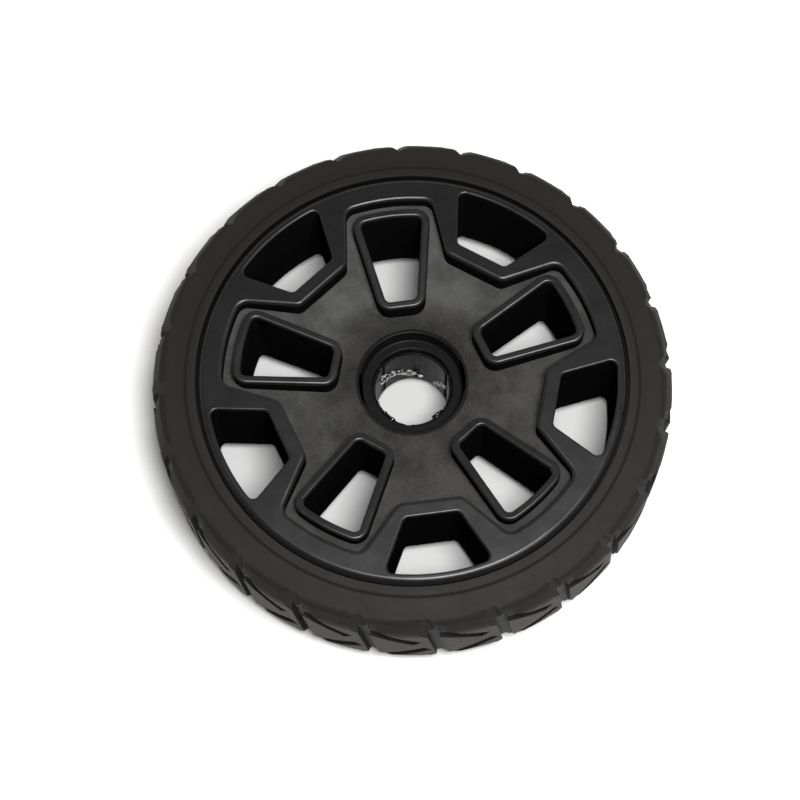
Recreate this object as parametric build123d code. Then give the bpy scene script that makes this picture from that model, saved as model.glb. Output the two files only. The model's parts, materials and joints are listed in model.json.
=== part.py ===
from build123d import *
from math import atan2, cos, degrees, hypot, radians, sin, sqrt, tan
import os

# Wheel of a walk-behind garden machine, lying on its back: axle along +Z, styled face up, millimetres.
# The origin is on the axle, in the plane that the back lip of the tyre lies on.
# One window of the pocket is centred on +Y, and the pattern of the rim repeats spoke_count times.

# Overall sizes
tyre_diameter = 230.0
wheel_width = 58.0

# Drum and face of the rim
tread_thickness = 11.0
face_step = 9.5
drum_wall = 3.5
drum_back = 4.0
face_lip_depth = 5.0
skin = 3.0
face_edge_bevel = 2.0

# Star-shaped pocket in the face
spoke_count = 5
pocket_flat = 57.4
arm_band = 11.1
arm_outer_half = 19.4
arm_inner_half = 22.4
arm_corner_round = 5.0
pocket_corner_round = 4.5
floor_outer_depth = 6.8
floor_hub_depth = 14.6

# Windows of the ring
ring_window_band = 4.7
ring_window_sill = 6.9
ring_window_outer_half = 23.2
ring_window_inner_half = 11.9
ring_window_round = 2.8

# Windows of the pocket and their collars
arm_window_inner_half = 6.9
arm_window_round = 2.6
collar_lip = 3.8
collar_end_gap = 4.2
collar_side_gap = 1.6
collar_hub_gap = 1.6
collar_outer_drop = 0.0
collar_hub_drop = 3.8

# Walls and ribs behind the face
window_wall = 2.8
window_back = 9.0
rib_wall = 2.4
rib_back = 11.0

# Hub
hub_face_drop = 10.5
hub_edge_radius = 23.2
hub_edge_wall = 1.4
hub_foot_radius = 31.0
hub_ledge_drop = 17.0
hub_ledge_radius = 22.2
hub_cup_wall = 3.3
hub_cup_floor = 3.5
hub_tube_wall = 3.6
hub_back = 5.0
sleeve_stop = 1.5
sleeve_stop_lip = 1.3

# Hub sleeve
sleeve_diameter = 36.0
sleeve_bore = 33.0
sleeve_fit = 0.1
sleeve_top_drop = 4.0
slot_count = 6
slot_width = 2.6
slot_depth = 0.8
slot_turn = -14.5

# Tyre
tyre_fit = 0.1
seam_gap = 0.8
lip_drop = 0.5
bead_width = 3.4
bead_slope = 1.2
bead_step = 0.7
shoulder_width = 4.2
sidewall_fall = 1.6
crown_depth = 9.5
back_lip_reach = 3.4

# Tread
pitch_count = 24
tread_turn = -1.9
cross_groove_width = 5.0
cross_groove_depth = 2.8
cross_groove_lean = 7.0
slant_groove_width = 6.0
slant_groove_depth = 2.0
slant_groove_length = 28.0
slant_angle = 36.0
slant_height = 13.7
slant_turn = 4.8
notch_depth = 2.8
notch_start = 2.0
notch_lean = 18.0
notch_spread = 1.8

# Worked-out sizes
sector = 360.0 / spoke_count
tyre_radius = tyre_diameter / 2
sidewall_radius = tyre_radius - shoulder_width
drum_radius = tyre_radius - tread_thickness
face_radius = drum_radius - face_step
drum_inside = drum_radius - drum_wall
drum_top = wheel_width - face_lip_depth
arm_reach = face_radius - arm_band
ring_window_reach = face_radius - ring_window_band
ring_window_start = pocket_flat + ring_window_sill
arm_window_reach = arm_reach - collar_end_gap - collar_lip
arm_window_start = hub_foot_radius + collar_hub_gap + collar_lip
arm_window_outer_half = arm_outer_half - collar_side_gap - collar_lip
sleeve_radius = sleeve_diameter / 2
ledge_height = wheel_width - hub_ledge_drop
hub_tube_radius = sleeve_radius + hub_tube_wall
hub_cup_radius = hub_edge_radius + hub_cup_wall
high = 2 * wheel_width


def arm_angles():
    """Angles of the pocket's arms about the axle."""
    return [90.0 + sector * k for k in range(spoke_count)]


def ring_angles():
    """Angles midway between the arms, where the ring has its windows."""
    return [angle + sector / 2 for angle in arm_angles()]


def spot(along, across, angle):
    """Point at a distance along a radius of the given angle, and across it to the left."""
    turn = radians(angle)
    return (along * cos(turn) - across * sin(turn), along * sin(turn) + across * cos(turn))


def on_circle(radius, across):
    """How far along its radius a point of a circle lies, when it is this far across."""
    return sqrt(radius**2 - across**2)


def pocket_corners():
    """Star outline before its corners are rounded: arms, and a flat below each window of the ring."""
    half = radians(sector / 2)
    inner_along = (pocket_flat - arm_inner_half * sin(half)) / cos(half)
    outer_along = on_circle(arm_reach, arm_outer_half)
    edges = []
    for angle in arm_angles():
        right_inner = spot(inner_along, -arm_inner_half, angle)
        right_outer = spot(outer_along, -arm_outer_half, angle)
        left_outer = spot(outer_along, arm_outer_half, angle)
        left_inner = spot(inner_along, arm_inner_half, angle)
        next_inner = spot(inner_along, -arm_inner_half, angle + sector)
        edges.append(Line(right_inner, right_outer))
        edges.append(ThreePointArc(right_outer, spot(arm_reach, 0, angle), left_outer))
        edges.append(Line(left_outer, left_inner))
        edges.append(Line(left_inner, next_inner))
    return make_face(edges)


def pocket_outline():
    """Star outline with its rounded corners."""
    corners = pocket_corners()
    reach = [hypot(v.X, v.Y) for v in corners.vertices()]
    middle = (min(reach) + max(reach)) / 2
    outline = fillet([v for v in corners.vertices() if hypot(v.X, v.Y) > middle], arm_corner_round)
    roots = [v for v in outline.vertices() if hypot(v.X, v.Y) < middle]
    return fillet(roots, pocket_corner_round)


def window_corners(angle, start, reach, inner_half, outer_half):
    """Four-sided window with a straight inner edge and an outer edge that follows the wheel."""
    outer_along = on_circle(reach, outer_half)
    right_inner = spot(start, -inner_half, angle)
    right_outer = spot(outer_along, -outer_half, angle)
    left_outer = spot(outer_along, outer_half, angle)
    left_inner = spot(start, inner_half, angle)
    edges = [
        Line(right_inner, right_outer),
        ThreePointArc(right_outer, spot(reach, 0, angle), left_outer),
        Line(left_outer, left_inner),
        Line(left_inner, right_inner),
    ]
    return make_face(edges)


def ring_window_corners(angle):
    return window_corners(
        angle, ring_window_start, ring_window_reach, ring_window_inner_half, ring_window_outer_half
    )


def arm_window_corners(angle):
    return window_corners(
        angle, arm_window_start, arm_window_reach, arm_window_inner_half, arm_window_outer_half
    )


def ring_window(angle):
    return fillet(ring_window_corners(angle).vertices(), ring_window_round)


def arm_window(angle):
    return fillet(arm_window_corners(angle).vertices(), arm_window_round)


def walled(corners, wall):
    """Outline grown by a wall, with its corners kept sharp."""
    return offset(corners, wall, kind=Kind.INTERSECTION)


def prism(outline, bottom, top):
    """Upright solid over a flat outline."""
    return extrude(Pos(0, 0, bottom) * outline, amount=top - bottom, dir=(0, 0, 1))


def spun(outline):
    """Solid of revolution about the axle from a flat outline drawn in radius and height."""
    return revolve(Plane.XZ * outline, Axis.Z)


def turned(*points):
    """Solid of revolution about the axle from the corners (radius, height) of its section."""
    return spun(make_face(Polyline(*points, close=True)))


def above_floor(drop):
    """Everything above the pocket's dished floor and hub boss, lowered by the given amount."""
    hub_top = wheel_width - hub_face_drop - drop
    foot = wheel_width - floor_hub_depth - drop
    rim_floor = wheel_width - floor_outer_depth - drop
    rise = (rim_floor - foot) / (arm_reach - hub_foot_radius)
    reach = drum_radius
    return turned(
        (0, high),
        (0, hub_top),
        (hub_edge_radius + hub_edge_wall, hub_top),
        (hub_foot_radius, foot),
        (reach, foot + rise * (reach - hub_foot_radius)),
        (reach, high),
    )


def collar(angle):
    """Raised block around a pocket window, before the window is cut, its top tilted down to the hub."""
    outer = arm_window_reach + collar_lip
    inner = arm_window_start - collar_lip
    tilt = degrees(atan2(collar_hub_drop - collar_outer_drop, outer - inner))
    top = Pos(*spot(outer, 0, angle), wheel_width - collar_outer_drop) * Rot(0, 0, angle) * Rot(0, -tilt, 0)
    block = prism(offset(arm_window(angle), collar_lip), 0, high)
    block -= top * Box(high * 3, high * 3, high, align=(Align.CENTER, Align.CENTER, Align.MIN))
    return block & above_floor(skin / 2)


def hub_post():
    """Hub tube behind the face, with the wider cup that carries the counterbore."""
    cup_bottom = ledge_height - hub_cup_floor
    return turned(
        (0, hub_back),
        (hub_tube_radius, hub_back),
        (hub_tube_radius, cup_bottom),
        (hub_cup_radius, cup_bottom),
        (hub_cup_radius, high),
        (0, high),
    )


def hub_hole():
    """Tapered counterbore, its ledge, the seat of the sleeve and the stop lip at the back."""
    hub_top = wheel_width - hub_face_drop
    taper = (hub_edge_radius - hub_ledge_radius) / (hub_top - ledge_height)
    stop_top = hub_back + sleeve_stop
    return turned(
        (0, -high),
        (sleeve_radius - sleeve_stop_lip, -high),
        (sleeve_radius - sleeve_stop_lip, stop_top),
        (sleeve_radius, stop_top),
        (sleeve_radius, ledge_height),
        (hub_ledge_radius, ledge_height),
        (hub_ledge_radius + taper * (high - ledge_height), high),
        (0, high),
    )


def back_cavity():
    """Everything that the moulding leaves open behind its skin, walls, ribs and hub."""
    cavity = turned(
        (0, -high),
        (drum_inside, -high),
        (drum_inside, drum_top - skin),
        (face_radius - skin, drum_top - skin),
        (face_radius - skin, wheel_width - skin),
        (0, wheel_width - skin),
    )
    kept = [prism(walled(pocket_corners(), skin), 0, high) & above_floor(skin), hub_post()]
    for angle in ring_angles():
        kept.append(prism(walled(ring_window_corners(angle), window_wall), window_back, high))
    for angle in arm_angles():
        kept.append(prism(walled(arm_window_corners(angle), window_wall), window_back, high))
    for angle in ring_angles():
        rib = Box(drum_inside, rib_wall, high, align=(Align.MIN, Align.CENTER, Align.MIN))
        kept.append(Pos(0, 0, rib_back) * Rot(0, 0, angle) * rib)
    return cavity - kept


def make_rim():
    """The whole moulding: face, pocket, windows, collars, hub, drum and ribbed back."""
    drum = Pos(0, 0, drum_back) * Cylinder(
        drum_radius, drum_top - drum_back, align=(Align.CENTER, Align.CENTER, Align.MIN)
    )
    face = Pos(0, 0, drum_top) * Cylinder(
        face_radius, face_lip_depth, align=(Align.CENTER, Align.CENTER, Align.MIN)
    )
    rim = drum + face
    rim -= prism(pocket_outline(), 0, high) & above_floor(0)
    rim = chamfer(rim.faces().sort_by(Axis.Z)[-1].outer_wire().edges(), face_edge_bevel)
    rim -= back_cavity()
    rim += [collar(angle) for angle in arm_angles()]
    windows = [ring_window(angle) for angle in ring_angles()] + [arm_window(angle) for angle in arm_angles()]
    rim -= [prism(window, -high, high) for window in windows]
    return rim - hub_hole()


def make_sleeve():
    """Slotted sleeve pressed into the hub, standing on the stop lip."""
    bottom = hub_back + sleeve_stop
    top = ledge_height - sleeve_top_drop
    outer = sleeve_radius - sleeve_fit
    bore = sleeve_bore / 2
    sleeve = turned(
        (bore, bottom),
        (outer, bottom),
        (outer, top),
        (bore, top),
    )
    slot = Pos(0, 0, -high) * Box(
        bore + slot_depth, slot_width, high * 3, align=(Align.MIN, Align.CENTER, Align.MIN)
    )
    return sleeve - [Rot(0, 0, 90 + slot_turn + 360 / slot_count * k) * slot for k in range(slot_count)]


def tyre_ring():
    """Tyre before its tread is cut: a channel over the drum, with a lip on each side."""
    seat = drum_radius + tyre_fit
    top = wheel_width - lip_drop
    lip_start = face_radius + seam_gap
    bead_end = lip_start + bead_width
    back_lip = drum_radius - back_lip_reach
    return turned(
        (seat, drum_back),
        (seat, drum_top),
        (lip_start, drum_top),
        (lip_start, top),
        (bead_end, top),
        (bead_end + bead_slope, top - bead_step),
        (sidewall_radius, top - sidewall_fall),
        (tyre_radius, wheel_width - crown_depth),
        (tyre_radius, crown_depth),
        (sidewall_radius, 0),
        (back_lip, 0),
        (back_lip, drum_back),
    )


def cross_groove():
    """Cutter for the groove that runs across the tread, on the +X side, its back end turned on a little."""
    groove = Rot(cross_groove_lean, 0, 0) * Box(2 * cross_groove_depth, cross_groove_width, high)
    return Pos(tyre_radius, 0, wheel_width / 2) * groove


def slant_groove():
    """Cutter for the blind groove that slants from a cross groove to the middle, in the face half of the tread."""
    groove = Rot(-slant_angle, 0, 0) * Box(2 * slant_groove_depth, slant_groove_length, slant_groove_width)
    return Rot(0, 0, slant_turn) * Pos(tyre_radius, 0, wheel_width / 2 + slant_height) * groove


def shoulder_notch():
    """Cutter for the V-shaped notch that runs from a cross groove over the shoulder to the sidewall."""
    top = wheel_width - lip_drop - sidewall_fall
    bottom = wheel_width - crown_depth
    inner = sidewall_radius - notch_start
    outer = tyre_radius - notch_depth
    fall = degrees(atan2(outer - inner, top - bottom))
    reach = wheel_width / 2
    spread = reach * notch_spread
    blade = make_face(Polyline((0, 0), (reach, -spread), (reach, spread), close=True))
    blade = extrude(blade, amount=reach, both=True)
    return Pos(outer, 0, bottom) * Rot(notch_lean, 0, 0) * Rot(0, -fall, 0) * blade


def make_tyre():
    """Tyre with leaning cross grooves, notched shoulders and slanting grooves that meet as chevrons."""
    shoulder_half = wheel_width / 2 - crown_depth
    shoulder_turn = degrees(shoulder_half * tan(radians(cross_groove_lean)) / tyre_radius)
    face_cuts = [slant_groove(), Rot(0, 0, -shoulder_turn) * shoulder_notch()]
    middle = Plane.XY.offset(wheel_width / 2)
    back_cuts = [Rot(0, 0, 2 * shoulder_turn) * mirror(cut, about=middle) for cut in face_cuts]
    tread = [
        Rot(0, 0, 90 + tread_turn + 360 / pitch_count * k) * cut
        for k in range(pitch_count)
        for cut in [cross_groove()] + face_cuts + back_cuts
    ]
    return tyre_ring() - tread


nodes = {
    "rim": make_rim(),
    "hub_sleeve": make_sleeve(),
    "tyre": make_tyre(),
}
os.makedirs("parts", exist_ok=True)
for name, solid in nodes.items():
    export_step(solid, f"parts/{name}.step")
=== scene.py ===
import json
import math
import random

import bmesh
import bpy
from bpy.props import FloatProperty, FloatVectorProperty, IntProperty, PointerProperty
from mathutils import Euler, Matrix, Vector, noise


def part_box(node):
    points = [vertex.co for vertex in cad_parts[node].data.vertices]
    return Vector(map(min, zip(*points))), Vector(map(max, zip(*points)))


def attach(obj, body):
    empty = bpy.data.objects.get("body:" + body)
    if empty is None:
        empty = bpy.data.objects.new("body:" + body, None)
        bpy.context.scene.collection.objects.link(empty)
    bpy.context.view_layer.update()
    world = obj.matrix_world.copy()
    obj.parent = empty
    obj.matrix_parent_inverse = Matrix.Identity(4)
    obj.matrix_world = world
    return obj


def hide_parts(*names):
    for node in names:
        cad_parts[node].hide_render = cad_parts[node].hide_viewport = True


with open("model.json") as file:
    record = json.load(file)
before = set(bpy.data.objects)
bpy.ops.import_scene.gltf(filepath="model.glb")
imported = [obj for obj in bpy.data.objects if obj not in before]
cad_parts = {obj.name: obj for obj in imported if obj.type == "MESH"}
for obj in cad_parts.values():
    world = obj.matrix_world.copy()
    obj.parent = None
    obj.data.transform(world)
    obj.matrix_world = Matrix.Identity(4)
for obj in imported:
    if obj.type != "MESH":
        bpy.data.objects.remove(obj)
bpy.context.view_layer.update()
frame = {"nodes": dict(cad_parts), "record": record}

bl_info = {
    "name": "Mower wheel",
    "version": (1, 0, 0),
    "blender": (4, 5, 0),
    "location": "View3D > Sidebar > Wheel",
    "description": "Dresses a moulded mower wheel: rim, hub sleeve, grease and tyre, on a pale stage",
    "category": "Object",
}

# Places that come from the frame, in metres
_, rim_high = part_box("rim")
_, tyre_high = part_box("tyre")
_, sleeve_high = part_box("hub_sleeve")
bore = next(m for m in frame["record"]["mounts"] if m["name"] == "axle_bore")
bore_radius = bore["dims"]["r_mm"] / 1000
face_height = rim_high.z
tyre_radius = tyre_high.x
mm = 0.001

# Pocket floor of the rim: radius and depth below the face at its outer edge, the hub's foot and the hub
floor_edge = (83.4 * mm, 6.8 * mm)
floor_foot = (31.0 * mm, 14.6 * mm)
floor_hub = (24.6 * mm, 10.5 * mm)
foot_blend = 4.5 * mm
floor_grids = ((11.3 * mm, floor_edge[0]), (3.1 * mm, floor_foot[0] + 2 * foot_blend))
floor_shine = (34 * mm, 46 * mm)
floor_mark = "pocket_floor"

# Depths below the face: the collars end, the edges of the hub end and the back begins
collar_depth = 5 * mm
hub_depth = 18 * mm
back_depth = 20 * mm

# Upward part of a normal: of the flat ring, of the tilted collars, and of any face that looks up or down
ring_upright = 0.9999
collar_upright = (0.9955, 0.998)
level_upright = 0.5

# Gloss of the rim, which also sets its painted shade (a darker face colour where the gloss is low, on steep
# walls and in the hub): on rounded edges and in the hub, out to a distance from the axle
gloss_shade_mark = "sheen"
edge_sheen = 1.25
hub_gloss_and_shade = 0.3
hub_reach = 25.5 * mm
hub_fade = 1 * mm

# Angles of planes through the axle: along the middles of the rim's windows, and between the sleeve's slots
rim_planes = [math.radians(18 + 36 * k) for k in range(5)]
sleeve_planes = [math.radians(45.5 + 60 * k) for k in range(3)]

# Depths below the mouth of the sleeve, where the film on it and the painted glints in the grease begin and
# are full
film_depths = (8 * mm, 16 * mm)
painted_glint_depths = (4 * mm, 8 * mm)

# Circles at the shoulders of the tyre: distance in from the tread and from the sides
shoulder_width = 4.2 * mm
crown_depth = 9.5 * mm
sidewall_fall = 1.6 * mm
# Painted shade in the crease by the bead: its radius, and the distances where it fades out and where it is
# full
bead_shade_radius = 99.6 * mm
bead_shade_edge = (0.9 * mm, 0.4 * mm)

# Tops of the blocks, worn paler, and the groove walls, with painted shade: how deep the tops reach, how far
# they face outwards, and how far a side faces up or down
wear_and_groove_shade_mark = "wear"
wear_depth = 1.5 * mm
top_outward = 0.8
side_upright = 0.3

# Painted shade on the paper beneath the wheel: width of its soft edge, and its tone
painted_shade_edge = 18 * mm
painted_shade_tone = 0.62

# Merging and shading of a CAD copy
weld_distance = 0.002 * mm
near_enough = 0.1 * mm
flat_angle = math.radians(0.05)
smooth_angle = math.radians(32)
sharp_edge = math.radians(50)
gentle_edge = math.radians(30)


class RimLook(bpy.types.PropertyGroup):
    star_round: FloatProperty(
        name="Star round", description="Rounding of the edge of the star pocket",
        default=1.8 * mm, unit="LENGTH", precision=4)
    cut_round: FloatProperty(
        name="Cut edge round", description="Rounding of the windows of the ring and of its outer edge",
        default=1.0 * mm, unit="LENGTH", precision=4)
    collar_round: FloatProperty(
        name="Collar round", description="Rounding of the raised lips round the pocket windows",
        default=1.3 * mm, unit="LENGTH", precision=4)
    hub_round: FloatProperty(
        name="Hub round", description="Rounding of the hub's edge and ledge",
        default=0.5 * mm, unit="LENGTH", precision=4)
    back_round: FloatProperty(
        name="Back round", description="Rounding of the edges behind the face",
        default=0.4 * mm, unit="LENGTH", precision=4)
    face_colour: FloatVectorProperty(
        name="Face colour", description="Smooth black plastic of the ring and the lips",
        default=(0.008, 0.008, 0.008), size=3, min=0, max=1, subtype="COLOR")
    pocket_colour: FloatVectorProperty(
        name="Pocket colour", description="Grained plastic of the pocket floor, a little lighter",
        default=(0.036, 0.0352, 0.0342), size=3, min=0, max=1, subtype="COLOR")
    grain_size: FloatProperty(
        name="Grain", description="Size of the moulded grain", default=0.9 * mm, unit="LENGTH", precision=4)
    mottle_size: FloatProperty(
        name="Mottling", description="Size of the soft patches in the gloss",
        default=14 * mm, unit="LENGTH", precision=4)


class SleeveLook(bpy.types.PropertyGroup):
    edge_round: FloatProperty(
        name="Edge round", description="Rounding of the mouth and the slots",
        default=0.2 * mm, unit="LENGTH", precision=4)
    colour: FloatVectorProperty(
        name="Colour", description="Dark plastic of the sleeve",
        default=(0.005, 0.005, 0.005), size=3, min=0, max=1, subtype="COLOR")


class GreaseLook(bpy.types.PropertyGroup):
    clump_size: FloatProperty(
        name="Clump size", description="Radius of a middling clump",
        default=1.1 * mm, unit="LENGTH", precision=4)
    seed: IntProperty(name="Seed", description="Picks one scatter of the clumps", default=11)
    colour: FloatVectorProperty(
        name="Colour", description="Black grease",
        default=(0.006, 0.006, 0.006), size=3, min=0, max=1, subtype="COLOR")
    # Pale streaks painted into the grease as glints
    painted_glint_colour: FloatVectorProperty(
        name="Smear colour", description="Pale streaks in the wet grease",
        default=(0.42, 0.41, 0.4), size=3, min=0, max=1, subtype="COLOR")


class TyreLook(bpy.types.PropertyGroup):
    shoulder_round: FloatProperty(
        name="Shoulder round", description="Rounding between sidewall and tread",
        default=2.4 * mm, unit="LENGTH", precision=4)
    colour: FloatVectorProperty(
        name="Colour", description="Black rubber",
        default=(0.0090, 0.0082, 0.0074), size=3, min=0, max=1, subtype="COLOR")
    worn_colour: FloatVectorProperty(
        name="Worn colour", description="Rubber on the tops of the blocks",
        default=(0.022, 0.0172, 0.0138), size=3, min=0, max=1, subtype="COLOR")


class StageLook(bpy.types.PropertyGroup):
    floor_colour: FloatVectorProperty(
        name="Floor", description="Pale floor",
        default=(0.95, 0.945, 0.94), size=3, min=0, max=1, subtype="COLOR")
    floor_size: FloatProperty(
        name="Floor size", description="Edge of the floor", default=8.0, unit="LENGTH")
    room_light: FloatProperty(
        name="Room light", description="Strength of the dark ceiling", default=0.06)
    wall_light: FloatProperty(
        name="Wall light", description="Strength of the pale walls round the floor", default=0.9)
    key_light: FloatProperty(
        name="Key light", description="Power of the lamp by the camera, in watts", default=13.0)
    key_size: FloatProperty(
        name="Key size", description="Width of the lamp", default=0.36, unit="LENGTH")
    key_distance: FloatProperty(
        name="Key distance", description="From the face to the lamp", default=0.95, unit="LENGTH")
    key_tilt: FloatProperty(
        name="Key tilt", description="Lamp away from straight up",
        default=math.radians(15.0), subtype="ANGLE")
    key_bearing: FloatProperty(
        name="Key bearing", description="Direction of the tilt, from the camera's right hand",
        default=math.radians(-60), subtype="ANGLE")
    edge_light: FloatProperty(
        name="Edge light", description="Power of the low lamp, in watts", default=2.0)
    edge_size: FloatProperty(
        name="Edge size", description="Width of the low lamp", default=0.25, unit="LENGTH")
    edge_distance: FloatProperty(
        name="Edge distance", description="From the face to the low lamp", default=1.3, unit="LENGTH")
    edge_tilt: FloatProperty(
        name="Edge tilt", description="Low lamp away from straight up",
        default=math.radians(44), subtype="ANGLE")
    edge_bearing: FloatProperty(
        name="Edge bearing", description="Direction of the low lamp, from the camera's right hand",
        default=math.radians(-45), subtype="ANGLE")
    lens: FloatProperty(
        name="Lens", description="Focal length on a 36 mm sensor, in mm", default=90.0)
    distance: FloatProperty(
        name="Distance", description="From the middle of the face to the camera",
        default=0.8753, unit="LENGTH")
    elevation: FloatProperty(
        name="Elevation", description="Camera above the horizon",
        default=math.radians(70.425), subtype="ANGLE")
    azimuth: FloatProperty(
        name="Azimuth", description="Camera round the axle",
        default=math.radians(-7.5), subtype="ANGLE")


class WheelLook(bpy.types.PropertyGroup):
    rim: PointerProperty(type=RimLook)
    sleeve: PointerProperty(type=SleeveLook)
    grease: PointerProperty(type=GreaseLook)
    tyre: PointerProperty(type=TyreLook)
    stage: PointerProperty(type=StageLook)


class Wire:
    """A socket of a finish, so that shader maths reads as Python."""

    def __init__(self, finish, socket):
        self.finish = finish
        self.socket = socket

    def maths(self, operation, *terms):
        return self.finish.add("ShaderNodeMath", {"operation": operation}, dict(enumerate(terms)))

    def __add__(self, other):
        return self.maths("ADD", self, other)

    def __sub__(self, other):
        return self.maths("SUBTRACT", self, other)

    def __rsub__(self, other):
        return self.maths("SUBTRACT", other, self)

    def __mul__(self, other):
        return self.maths("MULTIPLY", self, other)

    def __abs__(self):
        return self.maths("ABSOLUTE", self)

    __radd__ = __add__
    __rmul__ = __mul__

    def ramp(self, low, high):
        """0 below low, 1 above high and smooth between them; falls where low is above high."""
        settings = {"interpolation_type": "SMOOTHSTEP"}
        lowest, highest = min(low, high), max(low, high)
        inputs = {"Value": self, "From Min": lowest, "From Max": highest}
        rise = self.finish.add("ShaderNodeMapRange", settings, inputs)
        return rise if low <= high else 1 - rise


class Finish:
    """The nodes of a material or of the world, with its one shader, wired by the methods below."""

    def __init__(self, owner, shader, **constants):
        owner.use_nodes = True
        self.owner = owner
        self.tree = owner.node_tree
        self.shader = self.tree.nodes[shader]
        for word, value in constants.items():
            self.socket(word).default_value = value

    @classmethod
    def material(cls, name, **constants):
        return cls(bpy.data.materials.new(name), "Principled BSDF", **constants)

    def socket(self, word):
        """The shader's own socket of this name."""
        return self.shader.inputs[word.replace("_", " ").title().replace("Ior", "IOR")]

    def add(self, kind, settings=None, inputs=None, output=0):
        """Any node: its type, its settings, the values or wires of its sockets, and the output to use."""
        node = self.tree.nodes.new(kind)
        for word, value in (settings or {}).items():
            setattr(node, word, value)
        for key, value in (inputs or {}).items():
            self.feed(node.inputs[key], value)
        return Wire(self, node.outputs[output])

    def feed(self, socket, value):
        if isinstance(value, Wire):
            self.tree.links.new(value.socket, socket)
        elif socket.type == "RGBA":
            socket.default_value = (*value, 1)
        else:
            socket.default_value = value

    def give(self, **wires):
        """Feeds wires to the shader's own sockets."""
        for word, wire in wires.items():
            self.feed(self.socket(word), wire)

    def place(self):
        """Object coordinates."""
        return self.add("ShaderNodeTexCoord", output="Object")

    def height(self, point):
        """Height of a place above the floor."""
        return self.add("ShaderNodeSeparateXYZ", inputs={0: point}, output="Z")

    def radius(self, point):
        """Distance of a place from the axle."""
        level = self.add("ShaderNodeVectorMath", {"operation": "MULTIPLY"}, {0: point, 1: (1, 1, 0)})
        return self.add("ShaderNodeVectorMath", {"operation": "LENGTH"}, {0: level}, "Value")

    def mark(self, name):
        """A value that the faces of the mesh carry."""
        return self.add("ShaderNodeAttribute", {"attribute_name": name}, output="Fac")

    def cloud(self, point, size, detail=3.0, roughness=0.5):
        """Noise from 0 to 1 with patches of about the given size in metres."""
        inputs = {"Vector": point, "Scale": 1 / size, "Detail": detail, "Roughness": roughness}
        return self.add("ShaderNodeTexNoise", None, inputs)

    def blend(self, factor, first, second):
        """Colour between two colours."""
        return self.add("ShaderNodeMix", {"data_type": "RGBA"}, {0: factor, 6: first, 7: second}, 2)

    def bump(self, height, strength, distance):
        inputs = {"Height": height, "Strength": strength, "Distance": distance}
        self.give(normal=self.add("ShaderNodeBump", None, inputs))


def shade(colour, factor):
    """A colour made lighter or darker."""
    return tuple(channel * factor for channel in colour)


def rim_finish(look):
    """Black moulded plastic: smooth on the ring and the lips, grained and a little paler in the pocket,
    with painted shade on steep walls and in the hub.
    """
    finish = Finish.material("rim_plastic", specular_ior_level=0.0, coat_roughness=0.34)
    point = finish.place()
    radius = finish.radius(point)
    pocket = finish.mark(floor_mark)
    hub = radius.ramp(hub_reach, hub_reach - hub_fade)
    sheen = finish.mark(gloss_shade_mark) * (1 - hub) + hub * hub_gloss_and_shade
    patches = finish.cloud(point, look.mottle_size, detail=5.0, roughness=0.65).ramp(0.3, 0.7)
    grain = finish.cloud(point, look.grain_size, detail=2.0)
    speckle = (patches * 0.6 + grain.ramp(0.2, 0.8) * 0.4) * pocket
    colour = finish.blend(pocket, look.face_colour, shade(look.pocket_colour, 0.55))
    colour = finish.blend(speckle, colour, shade(look.pocket_colour, 1.5))
    floor_gloss = radius.ramp(*floor_shine) * 0.9
    finish.give(
        # Painted shade: where the gloss mark is low, on steep walls such as the window tunnels and in the
        # hub, the face colour is darkened
        base_color=finish.blend(sheen, shade(look.face_colour, 0.7), colour),
        roughness=0.6 + patches * 0.1,
        coat_weight=sheen * (0.5 + patches * 0.3) * (1 - pocket + pocket * floor_gloss),
    )
    finish.bump(grain * (0.3 + pocket * 0.7), strength=0.5, distance=0.15 * mm)
    return finish.owner


def sleeve_finish(look):
    """Dark plastic, smoother than the rim, with a thin film of grease that varies over it."""
    finish = Finish.material("sleeve_plastic", specular_ior_level=0.04, coat_roughness=0.15)
    point = finish.place()
    film = finish.cloud(point, 4 * mm, detail=4.0, roughness=0.6)
    deep = finish.height(point).ramp(*(sleeve_high.z - depth for depth in film_depths))
    finish.give(
        base_color=finish.blend(film, look.colour, shade(look.colour, 1.6)),
        roughness=0.45 - film * 0.15,
        coat_weight=deep * film.ramp(0.5, 0.65) * 0.15,
    )
    finish.bump(film, strength=0.3, distance=0.15 * mm)
    return finish.owner


def grease_finish(look):
    """Wet black grease with small glossy ripples, and pale streaks painted deep in the bore as glints."""
    finish = Finish.material("grease", coat_weight=1.0, coat_roughness=0.03)
    point = finish.place()
    ripple = finish.cloud(point, 0.9 * mm)
    deep = finish.height(point).ramp(*(sleeve_high.z - depth for depth in painted_glint_depths))
    # Painted glints: pale streaks in the grease, deep in the bore
    painted_glint = finish.cloud(point, 2.5 * mm).ramp(0.48, 0.56) * deep
    finish.give(
        base_color=finish.blend(painted_glint, look.colour, look.painted_glint_colour),
        roughness=0.12 + ripple * 0.12,
    )
    finish.bump(ripple, strength=0.5, distance=0.25 * mm)
    return finish.owner


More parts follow.
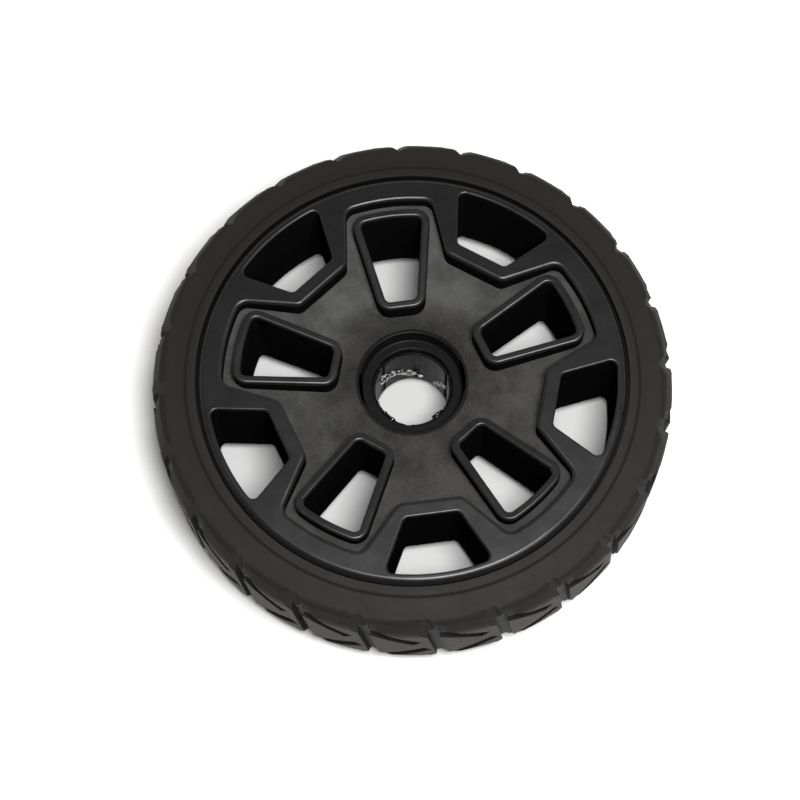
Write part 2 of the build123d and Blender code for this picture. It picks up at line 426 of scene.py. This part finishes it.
def tyre_finish(look):
    """Dull black rubber, paler on the worn tops of the blocks, with painted shade in the grooves and in the
    crease by the bead, and a fine skin.
    """
    finish = Finish.material("tyre_rubber", specular_ior_level=0.22)
    point = finish.place()
    wear = finish.mark(wear_and_groove_shade_mark)
    bead_shade = abs(finish.radius(point) - bead_shade_radius).ramp(*bead_shade_edge)
    mottle = finish.cloud(point, 9 * mm, detail=5.0, roughness=0.65)
    skin = finish.cloud(point, 0.5 * mm, detail=2.0)
    # Painted shade: the groove walls get a darker copy of the rubber
    rubber = finish.blend(wear.ramp(0.0, 0.5), shade(look.colour, 0.35), look.colour)
    rubber = finish.blend(wear.ramp(0.5, 1.0) * (0.55 + mottle * 0.45), rubber, look.worn_colour)
    finish.give(
        # Painted shade: the crease by the bead is darkened
        base_color=finish.blend(bead_shade * 0.7, rubber, shade(look.colour, 0.2)),
        roughness=0.58 + mottle * 0.16 + bead_shade * 0.15,
    )
    finish.bump(skin + mottle * 0.6, strength=0.22, distance=0.1 * mm)
    return finish.owner


def floor_finish(look):
    """Pale matt paper with painted shade beneath the wheel, where it shows through the windows."""
    finish = Finish.material("pale_floor", specular_ior_level=0.2)
    point = finish.place()
    tone = finish.cloud(point, 0.5, detail=2.0)
    # Painted shade: the paper is darkened beneath the wheel
    shade_beneath = finish.radius(point).ramp(tyre_radius, tyre_radius - painted_shade_edge)
    finish.give(
        base_color=finish.blend(shade_beneath, look.floor_colour, shade(look.floor_colour, painted_shade_tone)),
        roughness=0.7 + tone * 0.1,
    )
    return finish.owner


def merged_copy(node):
    """A CAD node's mesh with the seams between its faces closed, and a mark for rounded edges."""
    bm = bmesh.new()
    bm.from_mesh(frame["nodes"][node].data)
    bmesh.ops.remove_doubles(bm, verts=bm.verts, dist=weld_distance)
    bm.faces.layers.int.new("soft")
    bm.normal_update()
    return bm


def whole_flats(bm, planes):
    """Cuts the mesh along planes through the axle, and makes each flat face between the cuts whole."""
    sides = [Vector((-math.sin(angle), math.cos(angle), 0)) for angle in planes]
    for side in sides:
        geom = [*bm.verts, *bm.edges, *bm.faces]
        bmesh.ops.bisect_plane(bm, geom=geom, dist=weld_distance, plane_co=(0, 0, 0), plane_no=side)

    def on_cut(edge):
        return any(all(abs(v.co.dot(side)) < weld_distance * 2 for v in edge.verts) for side in sides)

    inner = [e for e in bm.edges
             if len(e.link_faces) == 2 and e.calc_face_angle(math.pi) < flat_angle and not on_cut(e)]
    bmesh.ops.dissolve_edges(bm, edges=inner, use_verts=False, use_face_split=False)
    bm.normal_update()


def turned_edge(edge, least=sharp_edge):
    """Whether two faces meet at an edge by at least the given angle, outwards or inwards."""
    return len(edge.link_faces) == 2 and abs(edge.calc_face_angle_signed(0)) > least


def convex(edge, least=sharp_edge):
    """Whether an edge stands out, by at least the given angle."""
    return len(edge.link_faces) == 2 and edge.calc_face_angle_signed(0) > least


def from_axle(place):
    return math.hypot(place.x, place.y)


def middle(edge):
    return (edge.verts[0].co + edge.verts[1].co) / 2


def round_edges(bm, edges, width, segments=3):
    """Rounds edges in the mesh and marks the faces that this makes."""
    result = bmesh.ops.bevel(
        bm, geom=list(edges), offset=width, offset_type="OFFSET", segments=segments, profile=0.5,
        affect="EDGES", material=-1, clamp_overlap=False, loop_slide=True)
    soft = bm.faces.layers.int["soft"]
    for face in result["faces"]:
        face[soft] = 1


def corner_normals(bm, own=None):
    """A normal for each corner: faces stay even, and rounded edges turn from one face to the next.

    The function own, where it is given, states the normal of a corner itself, or None.
    """
    bm.normal_update()
    soft = bm.faces.layers.int["soft"]
    least = math.cos(smooth_angle)
    areas = {face: face.calc_area() for face in bm.faces}
    normals = []
    for face in bm.faces:
        for loop in face.loops:
            normal = own(face, loop.vert) if own else None
            if normal is None:
                firm = [f for f in loop.vert.link_faces if not f[soft]]
                base = face
                if face[soft] and firm:
                    base = max(firm, key=lambda f: f.normal.dot(face.normal))
                group = firm or loop.vert.link_faces
                alike = [f for f in group if f.normal.dot(base.normal) > least]
                normal = sum((f.normal * areas[f] for f in alike), Vector()).normalized()
            normals.append(normal if normal.length else face.normal.copy())
    return normals


def made(name, bm, material, node=None, own=None):
    """Object of a finished mesh, riding on the wheel."""
    normals = corner_normals(bm, own) if "soft" in bm.faces.layers.int else None
    mesh = bpy.data.meshes.new(name)
    bm.to_mesh(mesh)
    bm.free()
    mesh.materials.append(material)
    mesh.shade_smooth()
    if normals:
        mesh.normals_split_custom_set(normals)
    piece = bpy.data.objects.new(name, mesh)
    bpy.context.scene.collection.objects.link(piece)
    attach(piece, "root")
    if node:
        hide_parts(node)
    return piece


def slope(first, second):
    """Fall of the pocket floor between two of its circles."""
    return (second[1] - first[1]) / (second[0] - first[0])


def floor_depth(radius, blend=0.0):
    """Depth of the pocket floor below the face, with a curve of this half width at the foot of the hub."""
    foot_radius, foot_depth = floor_foot
    inside, outside = slope(floor_hub, floor_foot), slope(floor_foot, floor_edge)
    along = radius - foot_radius
    if abs(along) < blend:
        start = along + blend
        return foot_depth - inside * blend + inside * start + (outside - inside) * start**2 / (4 * blend)
    return foot_depth + along * (inside if along < 0 else outside)


def floor_normal(place):
    """Normal of the blended pocket floor."""
    radius = from_axle(place)
    step = near_enough
    fall = (floor_depth(radius + step, foot_blend) - floor_depth(radius - step, foot_blend)) / (2 * step)
    return Vector((place.x / radius * fall, place.y / radius * fall, 1)).normalized()


class WHEEL_OT_rim(bpy.types.Operator):
    """Rim with rounded edges and an even pocket floor, from the solid of the moulding"""

    bl_idname = "wheel.rim"
    bl_label = "Rim"

    def execute(self, context):
        look = context.scene.wheel_look.rim
        bm = merged_copy("rim")
        whole_flats(bm, rim_planes)
        self.even_floor(bm)
        lips = {f for f in bm.faces if self.on_collar(f)}
        collars = [e for e in bm.edges if convex(e) and lips & set(e.link_faces)]
        round_edges(bm, collars, look.collar_round, segments=4)
        star = [e for e in bm.edges if convex(e) and self.on_face(e) and self.on_star(e)]
        round_edges(bm, star, look.star_round, segments=5)
        cuts = [e for e in bm.edges if convex(e, gentle_edge) and self.on_face(e)]
        round_edges(bm, cuts, look.cut_round, segments=3)
        hub = [e for e in bm.edges if turned_edge(e) and from_axle(middle(e)) < hub_reach
               and middle(e).z > face_height - hub_depth]
        round_edges(bm, hub, look.hub_round, segments=3)
        back = [e for e in bm.edges if convex(e) and middle(e).z < face_height - back_depth]
        round_edges(bm, back, look.back_round, segments=2)

        mark = bm.faces.layers.float[floor_mark]
        soft = bm.faces.layers.int["soft"]
        sheen = bm.faces.layers.float.new(gloss_shade_mark)
        bm.normal_update()
        # Gloss mark, which also sets the painted shade: most on rounded edges, full on faces that look up
        # or down, none on steep walls
        for face in bm.faces:
            face[sheen] = edge_sheen if face[soft] else float(abs(face.normal.z) > level_upright)
        made("rim_moulding", bm, rim_finish(look), "rim",
             lambda face, vert: floor_normal(vert.co) if face[mark] > 0.5 else None)
        return {"FINISHED"}

    def on_collar(self, face):
        """Whether a face is the tilted top of a collar."""
        least, most = collar_upright
        return least < face.normal.z < most and face.calc_center_median().z > face_height - collar_depth

    def on_star(self, edge):
        """Whether an edge of the ring's face is the top of a wall that stands on the pocket floor."""
        lowest = min(v.co.z for f in edge.link_faces for v in f.verts)
        reach = floor_edge[0] + near_enough
        return lowest > face_height - floor_foot[1] and from_axle(middle(edge)) < reach

    def on_face(self, edge):
        """Whether an edge borders the flat ring of the face."""
        return any(f.normal.z > ring_upright and f.calc_center_median().z > face_height - near_enough
                   for f in edge.link_faces)

    def even_floor(self, bm):
        """Marks the pocket floor, divides it evenly and blends it into the foot of the hub."""
        mark = bm.faces.layers.float.new(floor_mark)
        for face in bm.faces:
            depths = [face_height - v.co.z - floor_depth(from_axle(v.co)) for v in face.verts]
            face[mark] = float(face.normal.z > level_upright and max(map(abs, depths)) < near_enough)
        for step, reach in floor_grids:
            self.divide(bm, mark, step, reach)
        for vert in {v for f in bm.faces if f[mark] for v in f.verts}:
            if abs(from_axle(vert.co) - floor_foot[0]) < foot_blend:
                vert.co.z = face_height - floor_depth(from_axle(vert.co), foot_blend)
        bm.normal_update()

    def divide(self, bm, mark, step, reach):
        """Cuts the marked faces along a square grid, out to a distance from the axle."""
        count = math.ceil(reach / step)
        for axis in (Vector((1, 0, 0)), Vector((0, 1, 0))):
            for k in range(-count, count):
                faces = [f for f in bm.faces if f[mark] and min(from_axle(v.co) for v in f.verts) < reach]
                edges = {e for f in faces for e in f.edges}
                verts = {v for f in faces for v in f.verts}
                bmesh.ops.bisect_plane(
                    bm, geom=[*faces, *edges, *verts], dist=weld_distance, plane_co=axis * (k + 0.5) * step,
                    plane_no=axis)


class WHEEL_OT_sleeve(bpy.types.Operator):
    """Slotted sleeve in the hub, with softened edges"""

    bl_idname = "wheel.sleeve"
    bl_label = "Hub sleeve"

    def execute(self, context):
        look = context.scene.wheel_look.sleeve
        bm = merged_copy("hub_sleeve")
        whole_flats(bm, sleeve_planes)
        round_edges(bm, [e for e in bm.edges if convex(e)], look.edge_round, segments=2)
        made("hub_sleeve_ring", bm, sleeve_finish(look), "hub_sleeve")
        return {"FINISHED"}


class WHEEL_OT_grease(bpy.types.Operator):
    """Clumps of black grease that cling to the bore of the sleeve"""

    bl_idname = "wheel.grease"
    bl_label = "Grease"

    # Each patch: angles it runs between, depths below the mouth of the sleeve in mm, clumps and their size
    patches = (
        (140, 84, 14, 24, 26, 1.2),
        (150, 66, 8, 27, 20, 0.8),
        (186, 204, 0, 5, 7, 1.0),
        (20, 44, 16, 29, 9, 0.9),
        (-137, -127, 0, 2, 4, 1.3),
        (-148, -140, 0, 2, 4, 1.2),
        (-56, -44, 0, 2, 5, 1.3),
    )
    # Swelling of a lump against its radius, its pitch, and the room that its noise is drawn from
    swell_height = 0.45
    swell_pitch = 1.4
    noise_room = 9

    def execute(self, context):
        look = context.scene.wheel_look.grease
        chance = random.Random(look.seed)
        bm = bmesh.new()
        for start, end, high, low, count, size in self.patches:
            for k in range(count):
                along = (k + chance.random()) / count
                angle = math.radians(start + (end - start) * along)
                depth = (high + (low - high) * along + chance.uniform(-1, 1)) * mm
                self.clump(bm, angle, sleeve_high.z - max(depth, 0), look.clump_size * size, chance)
        made("bore_grease", bm, grease_finish(look))
        return {"FINISHED"}

    def clump(self, bm, angle, height, size, chance):
        """One uneven lump, flattened against the wall of the bore."""
        radius = size * chance.uniform(0.6, 1.4)
        spread = (chance.uniform(0.5, 0.8), chance.uniform(0.8, 1.5), chance.uniform(0.8, 1.3))
        place = Matrix.Rotation(angle, 4, "Z") @ Matrix.Translation((bore_radius, 0, height))
        result = bmesh.ops.create_icosphere(bm, subdivisions=3, radius=radius)
        shift = Vector((chance.random(), chance.random(), chance.random())) * self.noise_room
        for vert in result["verts"]:
            swell = 1 + self.swell_height * noise.noise(vert.co / radius * self.swell_pitch + shift)
            vert.co = place @ (vert.co * swell * Vector(spread))


class WHEEL_OT_tyre(bpy.types.Operator):
    """Tyre with rounded shoulders, worn blocks and painted shade in the grooves, from the solid of the tyre
    """

    bl_idname = "wheel.tyre"
    bl_label = "Tyre"

    def execute(self, context):
        look = context.scene.wheel_look.tyre
        bm = merged_copy("tyre")
        circles = (
            (tyre_radius - shoulder_width, tyre_high.z - sidewall_fall),
            (tyre_radius, face_height - crown_depth),
            (tyre_radius, crown_depth),
            (tyre_radius - shoulder_width, 0.0),
        )
        shoulders = [e for e in bm.edges if any(self.on_circle(e, *circle) for circle in circles)]
        round_edges(bm, shoulders, look.shoulder_round, segments=4)
        self.wear(bm)
        made("tyre_tread", bm, tyre_finish(look), "tyre")
        return {"FINISHED"}

    def wear(self, bm):
        """Marks each face: 1 on the worn tops of the blocks, a half on sides and shoulders, 0 in the
        grooves, which get painted shade.
        """
        soft = bm.faces.layers.int["soft"]
        wear = bm.faces.layers.float.new(wear_and_groove_shade_mark)
        bm.normal_update()
        for face in bm.faces:
            place = face.calc_center_median()
            outward = face.normal.dot(Vector((place.x, place.y, 0)).normalized())
            if face[soft] or abs(face.normal.z) > side_upright:
                face[wear] = 0.5
            else:
                face[wear] = float(outward > top_outward and from_axle(place) > tyre_radius - wear_depth)

    def on_circle(self, edge, radius, height):
        """Whether an edge is part of a circle about the axle."""
        return all(abs(from_axle(v.co) - radius) < near_enough and abs(v.co.z - height) < near_enough
                   for v in edge.verts)


class WHEEL_OT_stage(bpy.types.Operator):
    """Pale floor, soft walls, two lamps and the camera"""

    bl_idname = "wheel.stage"
    bl_label = "Stage"

    def execute(self, context):
        look = context.scene.wheel_look.stage
        scene = context.scene
        bm = bmesh.new()
        bmesh.ops.create_grid(bm, x_segments=1, y_segments=1, size=look.floor_size / 2)
        mesh = bpy.data.meshes.new("floor")
        bm.to_mesh(mesh)
        bm.free()
        mesh.materials.append(floor_finish(look))
        floor = bpy.data.objects.new("floor", mesh)
        scene.collection.objects.link(floor)

        room = Finish(bpy.data.worlds.new("room"), "Background", color=(1.0, 0.985, 0.965, 1))
        direction = room.add("ShaderNodeTexCoord", output="Generated")
        rise = room.add("ShaderNodeSeparateXYZ", inputs={0: direction}, output="Z")
        ahead = room.add("ShaderNodeSeparateXYZ", inputs={0: direction}, output="Y")
        behind = 0.1
        walls = rise.ramp(0.65, 0.3) * (behind + (1 - behind) * ahead.ramp(-0.5, 0.1))
        room.give(strength=look.room_light + walls * look.wall_light)
        scene.world = room.owner
        for word in ("key", "edge"):
            self.lamp(scene, look, word)
        self.camera(scene, look)
        scene.view_settings.view_transform = "Standard"
        return {"FINISHED"}

    def lamp(self, scene, look, word):
        """A round lamp that points at the wheel, by its own sizes."""
        power, size, distance, tilt, bearing = (
            getattr(look, f"{word}_{part}") for part in ("light", "size", "distance", "tilt", "bearing"))
        around = look.azimuth + bearing
        level = math.sin(tilt)
        away = Vector((math.cos(around) * level, math.sin(around) * level, math.cos(tilt)))
        light = bpy.data.lights.new(f"{word}_lamp", "AREA")
        light.shape = "DISK"
        light.size = size
        light.energy = power
        lamp = bpy.data.objects.new(f"{word}_lamp", light)
        lamp.location = Vector((0, 0, face_height)) + away * distance
        lamp.rotation_euler = (-away).to_track_quat("-Z", "Y").to_euler()
        scene.collection.objects.link(lamp)

    def camera(self, scene, look):
        """Camera at the photo's angle, with the middle of the face at its place in the picture."""
        around = look.azimuth - math.pi / 2
        level = math.cos(look.elevation)
        away = Vector((math.cos(around) * level, math.sin(around) * level, math.sin(look.elevation)))
        lens = bpy.data.cameras.new("camera")
        lens.lens = look.lens
        lens.sensor_width = 36.0
        lens.clip_start = 0.01
        camera = bpy.data.objects.new("camera", lens)
        camera.location = Vector((0, 0, face_height)) + away * look.distance
        image_half = 400
        focal_pixels = look.lens / lens.sensor_width * 2 * image_half
        middle_pixel = (412.29, 373.84)
        yaw = math.atan((middle_pixel[0] - image_half) / focal_pixels)
        pitch = math.atan((middle_pixel[1] - image_half) / focal_pixels)
        aim = (-away).to_track_quat("-Z", "Y") @ Euler((pitch, yaw, 0)).to_quaternion()
        camera.rotation_euler = aim.to_euler()
        scene.collection.objects.link(camera)
        scene.camera = camera


class VIEW3D_PT_wheel(bpy.types.Panel):
    """Operators and sizes of the wheel"""

    bl_label = "Mower wheel"
    bl_space_type = "VIEW_3D"
    bl_region_type = "UI"
    bl_category = "Wheel"

    def draw(self, context):
        look = context.scene.wheel_look
        for word in ("rim", "sleeve", "grease", "tyre", "stage"):
            box = self.layout.box()
            box.operator(f"wheel.{word}")
            group = getattr(look, word)
            # The first two are Blender's own
            for size in group.bl_rna.properties.keys()[2:]:
                box.prop(group, size)


classes = (
    RimLook,
    SleeveLook,
    GreaseLook,
    TyreLook,
    StageLook,
    WheelLook,
    WHEEL_OT_rim,
    WHEEL_OT_sleeve,
    WHEEL_OT_grease,
    WHEEL_OT_tyre,
    WHEEL_OT_stage,
    VIEW3D_PT_wheel,
)


def register():
    for cls in classes:
        bpy.utils.register_class(cls)
    bpy.types.Scene.wheel_look = PointerProperty(type=WheelLook)


def unregister():
    del bpy.types.Scene.wheel_look
    for cls in reversed(classes):
        bpy.utils.unregister_class(cls)


def main():
    register()
    bpy.ops.wheel.rim()
    bpy.ops.wheel.sleeve()
    bpy.ops.wheel.grease()
    bpy.ops.wheel.tyre()
    bpy.ops.wheel.stage()


if __name__ == "__main__":
    main()
